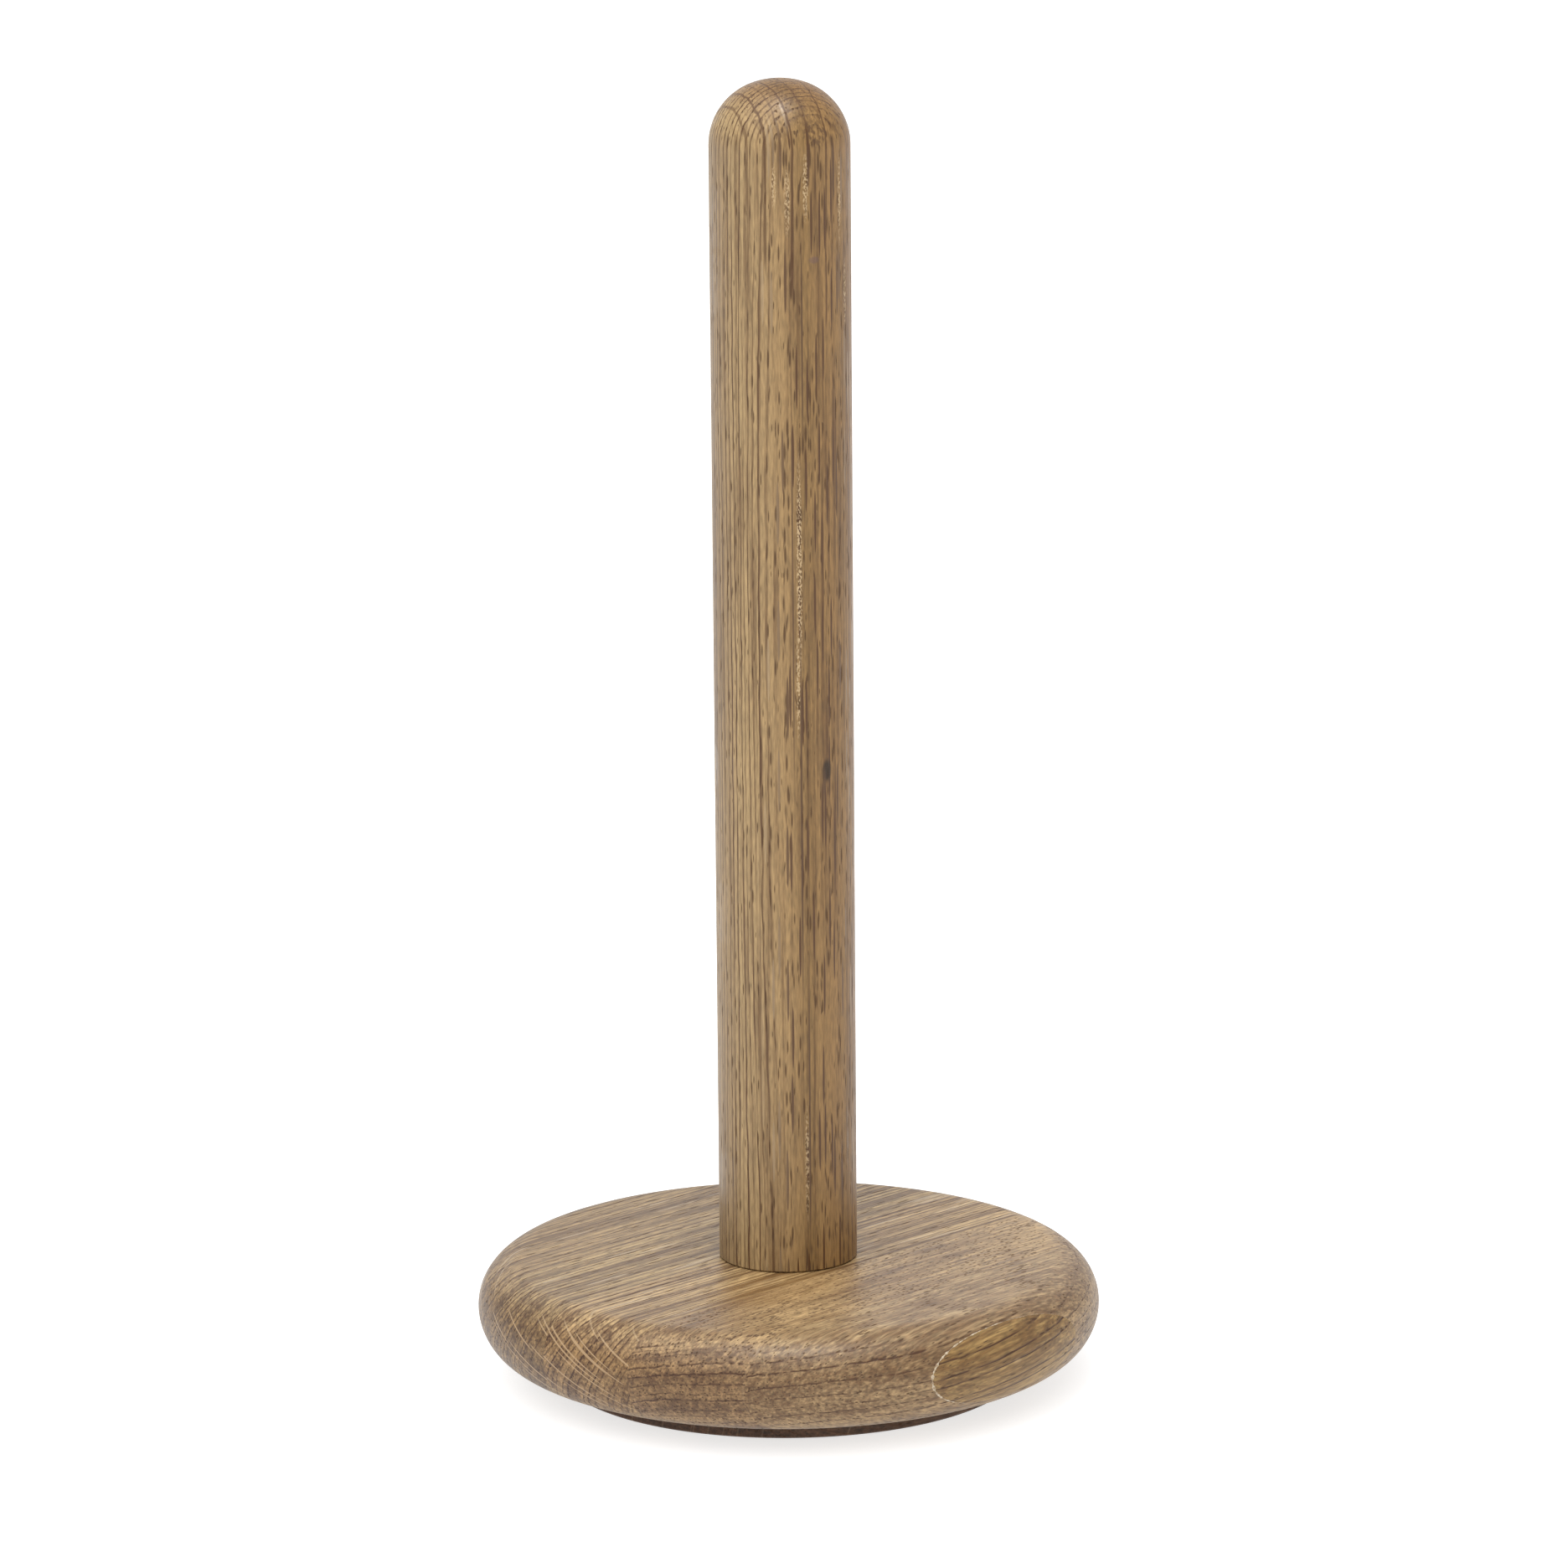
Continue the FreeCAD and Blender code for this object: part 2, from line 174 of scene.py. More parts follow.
def run(start, end, count):
    """Points start + (end - start) t for t even from 0 up to, but not reaching, 1."""
    part = np.linspace(0.0, 1.0, count, endpoint=False)[:, None]
    return np.asarray(start) * (1.0 - part) + np.asarray(end) * part


def arc(centre, radius, start, end, count):
    """Points centre + radius (cos a, sin a) for a even from start up to, but not reaching, end."""
    angle = np.linspace(start, end, count, endpoint=False)
    return np.asarray(centre) + radius * np.column_stack((np.cos(angle), np.sin(angle)))


def woven_mesh(grid, closed):
    """A bmesh of the quads between a grid's points, whose columns join up, and whose rows do if closed."""
    rows, columns = grid.shape[:2]
    row, column = np.meshgrid(np.arange(rows if closed else rows - 1), np.arange(columns), indexing="ij")
    after = (row + 1) % rows
    beside = (column + 1) % columns
    faces = [at * columns + to for at, to in ((row, column), (row, beside), (after, beside), (after, column))]
    mesh = bpy.data.meshes.new("woven")
    mesh.from_pydata(grid.reshape(-1, 3).tolist(), [], np.stack(faces, axis=-1).reshape(-1, 4).tolist())
    made = bmesh.new()
    made.from_mesh(mesh)
    bpy.data.meshes.remove(mesh)
    bmesh.ops.remove_doubles(made, verts=made.verts, dist=1e-7)
    bmesh.ops.recalc_face_normals(made, faces=made.faces)
    return made


def turned_mesh(section, steps, closed):
    """A bmesh of half a section turned once about Z.

    Point (i, j) is (r_i cos a_j, r_i sin a_j, z_i) for the section's radius r and height z, with a_j even all
    round. An open section has both its ends on the axis, where its row of points is merged into a pole.
    """
    angle = np.arange(steps) * (FULL_TURN / steps)
    radius = section[:, 0][:, None]
    height = np.repeat(section[:, 1][:, None], steps, axis=1)
    return woven_mesh(np.stack((radius * np.cos(angle), radius * np.sin(angle), height), axis=-1), closed)


def finish_piece(name, made, material, replaces=None):
    """Put a bmesh into a new object at the origin, smooth it between sharp edges and hang it on the root
    body.
    """
    mesh = bpy.data.meshes.new(name)
    made.to_mesh(mesh)
    made.free()
    mesh.shade_smooth()
    mesh.set_sharp_from_angle(angle=SHARP_FROM)
    mesh.materials.append(material)
    piece = bpy.data.objects.new(name, mesh)
    bpy.context.scene.collection.objects.link(piece)
    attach(piece, "root")
    if replaces:
        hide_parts(replaces)
    return piece


def post_section(sizes):
    """Half the post's section, from the end of the bolt's bore out, round the spigot and up over the dome.

    The dome is a shoulder arc centred a little off the axis, then a larger crown arc centred on it. They meet
    where both have one tangent.
    """
    radius = radius_of("post")
    spigot_end = low_of("post")
    seat = high_of("base_stave_4")
    top = high_of("post")
    shoulder = radius - sizes.shoulder_inset
    crown = shoulder + sizes.crown_gain
    drop = math.sqrt(sizes.crown_gain ** 2 - sizes.shoulder_inset ** 2)
    dome = top - crown + drop
    meet = math.atan2(drop, sizes.shoulder_inset)
    bore = radius_of("threaded_insert") + sizes.insert_slack
    tip = bolt_radius() + sizes.bolt_slack
    insert_end = high_of("threaded_insert")
    tip_end = high_of("centre_bolt") + sizes.bolt_tip_room
    return np.concatenate((
        run((0.0, tip_end), (tip, tip_end), 2),
        run((tip, tip_end), (tip, insert_end), 4),
        run((tip, insert_end), (bore, insert_end), 1),
        run((bore, insert_end), (bore, spigot_end), 4),
        run((bore, spigot_end), (sizes.spigot_radius, spigot_end), 2),
        run((sizes.spigot_radius, spigot_end), (sizes.spigot_radius, seat), 4),
        run((sizes.spigot_radius, seat), (radius - sizes.post_ease, seat), 2),
        run((radius - sizes.post_ease, seat), (radius, seat + sizes.post_ease), 1),
        run((radius, seat + sizes.post_ease), (radius, dome), 48),
        arc((sizes.shoulder_inset, dome), shoulder, 0.0, meet, 40),
        arc((0.0, top - crown), crown, meet, math.pi / 2.0, 14),
        [(0.0, top)],
    ))


def bolt_radius():
    """The radius of the bolt's shank, from its points above the washer."""
    points = points_of("centre_bolt")
    shank = points[points[:, 2] > high_of("bolt_washer") + MM]
    return float(np.hypot(shank[:, 0], shank[:, 1]).max())


def base_levels(sizes):
    """The base's radius, underside, widest level and top, and the radii of its two rim arcs."""
    low = low_of("base_stave_4")
    top = high_of("base_stave_4")
    widest = top - sizes.rim_round
    radius = min(abs(number) for corner in CAD_BOX for number in corner[:2])
    return radius, low, widest, top, sizes.rim_round, widest - low


def base_section(sizes):
    """Half the base's section: underside, rim of two quarter arcs, top, socket, bolt hole and recess."""
    radius, low, widest, top, upper, lower = base_levels(sizes)
    socket = sizes.spigot_radius + sizes.spigot_slack
    floor = low_of("post") - sizes.spigot_gap
    hole = bolt_radius() + sizes.bolt_slack
    ceiling = high_of("bolt_washer")
    recess = radius_of("bolt_washer") + sizes.recess_slack
    return np.concatenate((
        run((recess, low), (radius - lower, low), 5),
        arc((radius - lower, widest), lower, -math.pi / 2.0, 0.0, 32),
        arc((radius - upper, widest), upper, 0.0, math.pi / 2.0, 32),
        run((radius - upper, top), (socket, top), 5),
        run((socket, top), (socket, floor), 3),
        run((socket, floor), (hole, floor), 1),
        run((hole, floor), (hole, ceiling), 3),
        run((hole, ceiling), (recess, ceiling), 1),
        run((recess, ceiling), (recess, low), 3),
    ))


def stave_span(node):
    """How far a stave reaches across the grain, as its least and greatest place along ACROSS."""
    places = points_of(node) @ np.array(ACROSS)
    return float(places.min()), float(places.max())


def cut_stave(made, near, far):
    """Keep what lies between two glue planes, and close each cut with one flat face."""
    for place, outward in ((far, ACROSS), (near, -ACROSS)):
        cut = bmesh.ops.bisect_plane(
            made, geom=made.verts[:] + made.edges[:] + made.faces[:], dist=1e-8,
            plane_co=ACROSS * place, plane_no=outward, clear_outer=True)
        edges = [item for item in cut["geom_cut"] if isinstance(item, bmesh.types.BMEdge)]
        if edges:
            closing = bmesh.ops.contextual_create(made, geom=edges)
            bmesh.ops.triangulate(made, faces=closing["faces"], ngon_method="EAR_CLIP")
    bmesh.ops.recalc_face_normals(made, faces=made.faces)


def true_rim(mesh, sizes):
    """Give the rim's corners the true normals of its arcs, so its shine runs unbroken over the glue planes.

    On a rim arc of centre (R - a, h) and radius a, the normal at radius r and height z is
    ((r - R + a) / a, (z - h) / a) in the plane through the axis. Corners of the flat glue faces and of the
    socket keep theirs.
    """
    radius, _, widest, _, upper, lower = base_levels(sizes)
    normals = field_of(mesh.corner_normals, "vector")
    points = field_of(mesh.vertices, "co")[field_of(mesh.loops, "vertex_index", 1, np.int64)[:, 0]]
    counts = field_of(mesh.polygons, "loop_total", 1, np.int64)[:, 0]
    on_glue = np.abs(field_of(mesh.polygons, "normal") @ np.array(ACROSS)) > 0.99999
    around = np.hypot(points[:, 0], points[:, 1])
    arc_radius = np.where(points[:, 2] >= widest, upper, lower)
    out = (around - radius + arc_radius) / arc_radius
    rise = (points[:, 2] - widest) / arc_radius
    true = np.column_stack((points[:, 0] / around * out, points[:, 1] / around * out, rise))
    true /= np.linalg.norm(true, axis=1)[:, None]
    rim = (out > 0.0) & ~np.repeat(on_glue, counts)
    normals[rim] = true[rim]
    mesh.normals_split_custom_set(normals.tolist())


def glue_bead(sizes, place):
    """A bead of dried glue round the oval where one glue plane leaves the rim.

    The path's angle t runs once round: height = widest + h sin t, where h reaches the level at which the rim
    is as wide as the plane's place, and the place along the grain is sign(cos t) sqrt(r^2 - place^2). A flat
    ellipse is carried along it, in the plane of the rim's normal and the direction across the path. Its width
    swells and thins as a sum of sines, is greatest at the end that faces back along the grain, and fades past
    the oval's top.
    """
    radius, _, widest, _, upper, lower = base_levels(sizes)
    path_steps, round_steps = 480, 8
    turn = np.arange(path_steps) * (FULL_TURN / path_steps)
    reach_up = math.sqrt(upper ** 2 - (place - radius + upper) ** 2)
    reach_down = math.sqrt(lower ** 2 - (place - radius + lower) ** 2)
    rise = np.where(np.sin(turn) > 0.0, reach_up, reach_down) * np.sin(turn)
    bend = np.where(rise > 0.0, upper, lower)
    around = radius - bend + np.sqrt(bend ** 2 - rise ** 2)
    along = np.sign(np.cos(turn)) * np.sqrt(np.maximum(around ** 2 - place ** 2, 0.0))
    level = widest + rise
    path = along[:, None] * np.array(GRAIN) + place * np.array(ACROSS) + level[:, None] * np.array(UP)
    flatness = (around - radius + bend) / bend
    outward = np.column_stack((path[:, :2] / around[:, None] * flatness[:, None], rise / bend))
    forward = np.roll(path, -1, axis=0) - np.roll(path, 1, axis=0)
    forward /= np.linalg.norm(forward, axis=1)[:, None]
    side = np.cross(forward, outward)
    end = np.exp(-((turn - math.pi) / 0.75) ** 2)
    ripple = 0.55 + 0.3 * np.sin(23.0 * turn + 0.4) + 0.25 * np.sin(41.0 * turn + 1.9)
    ripple += 0.2 * np.sin(67.0 * turn)
    crest = np.exp(-((turn - 0.62 * math.pi) / 0.6) ** 2)
    width = sizes.glue_width * (0.03 + 0.97 * end + 0.22 * crest) * np.clip(ripple, 0.18, 1.0)
    proud = sizes.glue_proud * np.clip(0.1 + end + 0.4 * crest, 0.0, 1.0)
    spin = np.arange(round_steps) * (FULL_TURN / round_steps)
    grid = (path[:, None, :]
            + side[:, None, :] * (width[:, None] * np.cos(spin))[:, :, None]
            + outward[:, None, :] * (proud[:, None] * np.sin(spin))[:, :, None])
    return woven_mesh(grid, closed=True)


# ---- Boards: how each piece was sawn ----


def board_axes(grain, radial):
    """The turn that takes a point to (g, p, q): along the grain, out from the pith, and across both."""
    along = grain.normalized()
    out = (radial - along * radial.dot(along)).normalized()
    return Matrix((along, out, along.cross(out)))


def stave_axes(tilt, lean):
    """A stave's axes: its log's radius dips by the tilt, and its grain climbs by the lean, in degrees."""
    dip = math.radians(tilt)
    climb = math.radians(lean)
    return board_axes(-GRAIN * math.cos(climb) + UP * math.sin(climb),
                      ACROSS * math.cos(dip) - UP * math.sin(dip))


def post_axes(turn):
    """The post's axes: the grain is up, and the log's radius is turned this many degrees from the front."""
    angle = math.radians(turn)
    return board_axes(UP, Vector((math.sin(angle), -math.cos(angle), 0.0)))


def on_top(axes, place, along=0.0):
    """A point of the base's top in board millimetres, from its places across and along the grain."""
    point = ACROSS * place + GRAIN * along + UP * (high_of("base_stave_4") / MM)
    return axes @ point


def on_post(axes, turn, height):
    """A point of the post's wall in board millimetres, from its degrees from the front and its height."""
    angle = math.radians(turn)
    radius = radius_of("post") / MM
    return axes @ Vector((radius * math.sin(angle), -radius * math.cos(angle), height))


def ring_distance(point, pith, level):
    """How far a board point lies outside the ring through the origin, when the pith is pith mm behind it."""
    return math.hypot(point[1] + pith, point[2] - level) - pith


def ring_list(known, low, high, pitch, seed, faint):
    """Places and strengths of the rings from low to high: the known ones, and others about a pitch apart."""
    rng = np.random.default_rng(seed)
    places = sorted([(low, 0.3), *[item for item in known if low < item[0] < high], (high, 0.3)])
    rings = []
    for (start, mark), (end, _) in zip(places, places[1:]):
        rings.append((start, mark))
        extra = max(round((end - start) / pitch) - 1, 0)
        steps = (np.arange(1, extra + 1) + rng.uniform(-0.25, 0.25, extra)) / (extra + 1)
        rings += [(start + (end - start) * step, rng.uniform(*faint)) for step in steps]
    rings.append(places[-1])
    return rings


def board_rings(node, axes, board):
    """The ring list of a piece: its range comes from its CAD points, with room for the grain's bends."""
    points = points_of(node) / MM @ np.array(axes.transposed())
    pith, level = board["pith"]
    distance = np.hypot(points[:, 1] + pith, points[:, 2] - level) - pith
    room = 3.0
    low, high = float(distance.min()) - room, float(distance.max()) + room
    return ring_list(board["known"], low, high, board["pitch"], board["number"], board["faint"])


# How each stave was sawn. Tilt and lean turn its board; its log's pith lies pith below the place across the
# grain that heart gives; rings are where year rings meet the top, across the grain, with how dark each is.
STAVE_BOARDS = {
    "base_stave_1": dict(
        tilt=-90.0, lean=-7.0, pith=90.0, heart=60.0, pitch=3.0, faint=(0.9, 1.0), line=0.5, light="#a88c58",
        deep="#725631", rays=0.1, gaps=0.5, flat_line=0.7),
    "base_stave_2": dict(
        tilt=-90.0, lean=-5.0, pith=110.0, heart=58.0, pitch=2.6, faint=(0.5, 1.0), line=0.45,
        light="#a28964", deep="#6c5338", rays=0.15, ray_show=(0.1, 0.12, 0.5), vessel_end=12.0, gaps=0.0,
        pore_stretch=0.5, scatter=0.22),
    "base_stave_3": dict(
        tilt=-90.0, lean=-3.0, pith=80.0, heart=41.0, pitch=1.9, faint=(0.5, 1.0), line=0.5, light="#a0855f",
        deep="#684f36", ray_show=(0.1, 0.15, 0.5), vessel_end=3.5, gaps=0.0, pore_stretch=0.3, scatter=0.3,
        rings=[(20.2, 1.0), (24.6, 0.6), (28.9, 0.6), (40.5, 0.5)]),
    "base_stave_4": dict(
        tilt=25.0, pith=90.0, heart=5.0, pitch=1.45, light="#a68b62", deep="#60462b", rays=0.5,
        rings=[(-6.3, 0.8), (-3.9, 1.0), (-1.2, 0.8), (1.8, 1.0), (5.0, 0.7), (7.0, 0.6), (8.5, 1.0),
               (10.7, 0.8), (14.0, 1.0)]),
    "base_stave_5": dict(
        tilt=22.0, pith=90.0, heart=-19.5, pitch=1.5, light="#99815a", deep="#5a432b", rays=0.5,
        rings=[(-27.0, 0.9), (-24.5, 0.8), (-18.0, 1.0), (-13.0, 0.8), (-11.0, 1.0), (-9.8, 0.8)]),
    "base_stave_6": dict(
        tilt=26.0, pith=90.0, heart=-44.0, pitch=1.8, light="#937a55", deep="#58412a", rays=0.5,
        rings=[(-47.7, 0.8), (-41.0, 0.9), (-35.5, 0.8), (-32.8, 0.9)]),
    "base_stave_7": dict(
        tilt=14.0, pith=90.0, heart=-63.0, pitch=2.0, light="#907753", deep="#57422b", rays=0.4),
}


def post_board(axes):
    """The post's board: quartered on its left side, flat-sawn on its front right."""
    streak, dark = "#b99f78", "#4f3722"
    marks = [
        # Each mark's turn and height on the wall, half sizes, colour, strength and speck size.
        (13.5, 186.0, (30.0, 1.6, 0.75), streak, 0.9, 0.32),
        (12.0, 160.0, (14.0, 1.6, 0.6), streak, 0.75, 0.32),
        (16.5, 52.0, (16.0, 1.6, 0.6), streak, 0.65, 0.32),
        (64.0, 246.0, (9.0, 1.2, 0.5), streak, 0.8, 0.32),
        (-5.0, 270.0, (6.0, 1.6, 0.6), streak, 0.7, 0.32),
        (5.6, 267.0, (9.0, 1.6, 0.8), streak, 0.7, 0.32),
        (20.7, 270.0, (9.0, 1.6, 0.8), streak, 0.8, 0.32),
        (56.0, 267.0, (12.0, 1.4, 0.6), streak, 0.8, 0.32),
        (37.0, 141.0, (3.2, 2.6, 1.6), "#33220f", 1.0, 0.0),
        (34.5, 138.5, (4.5, 2.0, 0.6), dark, 0.7, 0.0),
        (28.0, 254.0, (1.0, 1.2, 1.6), "#5d4644", 0.5, 0.0),
        (31.0, 281.5, (4.2, 4.0, 4.6), dark, 0.75, 0.6),
        (14.0, 130.0, (55.0, 1.5, 0.3), dark, 0.9, 0.0),
        (19.0, 62.0, (42.0, 1.5, 0.28), dark, 0.9, 0.0),
        (17.0, 236.0, (30.0, 1.5, 0.28), dark, 0.9, 0.0),
        (8.0, 180.0, (60.0, 1.5, 0.25), dark, 0.8, 0.0),
    ]
    return {
        "pith": (400.0, 0.0), "pitch": 1.3, "number": 11, "seed": 1.7, "light": "#9b825e", "deep": "#684f34",
        "known": [(5.2, 0.9), (6.4, 0.4), (7.4, 0.9), (8.6, 0.5), (9.7, 0.9), (10.6, 0.5), (11.7, 0.9),
                  (12.95, 1.0), (14.0, 0.7), (15.1, 1.0)],
        # The tints across the post hold its own tones and painted light: the left side lighter, the edges
        # washed out as painted sheen.
        "tones": [(-16.0, "#e2e0de"), (-15.2, "#ebe8e2"), (-14.4, "#fffff8"), (-11.0, "#f5f1e6"),
                  (-7.3, "#efe6d4"), (-4.4, "#dccfb5"), (-2.4, "#cdbe9e"), (0.3, "#deceb0"), (4.3, "#dcc9a8"),
                  (8.0, "#d2be98"), (11.5, "#dac298"), (16.0, "#e4cea4")],
        "sheets": [(-12.6, 262.0, 300.0, 0.6), (-9.8, 250.0, 300.0, 0.8), (-4.9, 244.0, 300.0, 0.9),
                   (-1.3, 268.0, 300.0, 0.7), (3.0, 236.0, 300.0, 0.8), (-7.2, 274.0, 300.0, 0.5)],
        "marks": [(on_post(axes, turn, height), *look) for turn, height, *look in marks],
        # The bow's middle, half height and reach, and where along the radius it starts and is full.
        "bow": (160.0, 115.0, 1.3, 5.0, 8.0),
        "sway": 0.5, "line": 0.46, "faint": (0.6, 1.0), "flat_line": 0.1, "rays": 0.75, "tall_rays": True,
        "ray_cell": (36.0, 30.0, 1.3), "ray_size": 0.21, "ray_show": (0.0, 0.0, 1.0), "scatter": 0.14,
        "grit": 0.2, "tone_from": 0.95, "ring_tone": 0.15,
    }


# ---- Finishes ----


# Settings that many shader nodes share.
PLUS = {"operation": "ADD"}
TIMES = {"operation": "MULTIPLY"}
TIMES_PLUS = {"operation": "MULTIPLY_ADD"}
SOFT = {"interpolation_type": "SMOOTHSTEP"}
BLEND = {"data_type": "RGBA"}
TINT = {"data_type": "RGBA", "blend_type": "MULTIPLY"}

# What a board is like unless it says otherwise. Strengths run from 0 to 1, sizes are in mm.
PLAIN_BOARD = {
    "known": (),  # listed year rings: how far each lies outside the one through the origin, and its strength
    "faint": (0.35, 0.9),  # range for the lines of rings that aren't listed
    "line": 0.6,  # width of a ring's early wood
    "sway": 1.2,  # how far the grain bends
    "vessel_end": 40.0,  # length of the early wood's vessels
    "gaps": 0.4,  # strength that a line keeps where they end
    "flat_line": 0.15,  # strength that a line keeps on flat-sawn faces
    "pore_stretch": 1.0,  # length of the pores against the usual one
    "scatter": 0.16,  # radius of the pores outside the early wood, in pore spacings
    "pores": 0.8,  # strength of the pores
    "rays": 0.3,  # part of the cells that hold a ray
    "ray_cell": (26.0, 46.0, 0.62),  # a ray's cell along the grain, along the radius and across
    "ray_size": 0.31,  # a ray's radius in cells
    "tall_rays": False,  # whether rays run all the way from pith to bark
    "ray_show": (0.22, 0.85, 0.6),  # strength of the rays on quartered, end-grain and flat-sawn faces
    "ring_tone": 0.35,  # how much each ring's own tone counts
    "tone_from": 0.85,  # the sum of tones at which the light colour starts to turn deep
    "grit": 0.32,  # strength of the grit
    "side_shade": 0.0,  # strength of the painted shade where a face turns sideways
    "rough": 0.44,  # roughness of the oiled face
    "sheets": (),  # broad dark rays: place across, lower and upper end along the grain, strength
    "marks": (),  # knots, stains, pale streaks and patches of painted shade, as oak_mark takes them
}


def add_node(tree, kind, inputs=(), **settings):
    """Add one shader node with its settings, then link each input to a node or socket, or set its value.

    The inputs come in the node's own order, or by name or number.
    """
    node = tree.nodes.new(f"ShaderNode{kind}")
    for key, setting in settings.items():
        setattr(node, key, setting)
    for key, given in inputs.items() if isinstance(inputs, dict) else enumerate(inputs):
        if isinstance(given, bpy.types.Node):
            tree.links.new(result(given), node.inputs[key])
        elif isinstance(given, bpy.types.NodeSocket):
            tree.links.new(given, node.inputs[key])
        else:
            node.inputs[key].default_value = given
    return node


def result(node):
    """The output of a node that carries its answer: the third of a colour mix, else the first."""
    colour_mix = node.bl_idname == "ShaderNodeMix" and node.data_type == "RGBA"
    return node.outputs[2 if colour_mix else 0]


def new_material(name, turn=(0.0, 0.0, 0.0)):
    """A new material, what adds nodes to it, its coordinates, and its turned points in millimetres."""
    material = bpy.data.materials.new(name)
    material.use_nodes = True
    material.node_tree.nodes.clear()
    add = partial(add_node, material.node_tree)
    where = add("TexCoord")
    point = add("Mapping", {"Vector": where.outputs["Object"], "Rotation": turn, "Scale": (1.0 / MM,) * 3})
    return material, add, where, point


def finish_material(material, inputs):
    """Close a material with its Principled shader, whose inputs are linked or set to plain values."""
    shader = add_node(material.node_tree, "BsdfPrincipled", inputs)
    add_node(material.node_tree, "OutputMaterial", {"Surface": shader})
    return material


def set_stops(node, stops):
    """Fill a colour ramp with stops of place and colour, in order."""
    elements = node.color_ramp.elements
    for element, (place, shade) in ((elements[0], stops[0]), (elements[1], stops[-1])):
        element.position = place
        element.color = shade
    for place, shade in stops[1:-1]:
        elements.new(place).color = shade


def rgba(shade):
    """A linear colour, or the linear value of a hex code, with full alpha."""
    return (*(linear(shade) if isinstance(shade, str) else shade), 1.0)


def ring_stops(rings, line):
    """Colour ramp stops that describe the rings.

    Red is the count of rings so far, green the strength of the ring's line, blue the part of its width that
    is early wood, and alpha a chance tone.
    """
    low, high = rings[0][0], rings[-1][0]
    tones = np.random.default_rng(len(rings)).uniform(0.0, 1.0, len(rings))
    stops = []
    for index, (place, strength) in enumerate(rings):
        width = rings[min(index + 1, len(rings) - 1)][0] - place
        early = min(line / max(width, 0.01), 0.4)
        code = (index / (len(rings) - 1), strength, early, tones[index])
        stops.append(((place - low) / (high - low), code))
    return stops


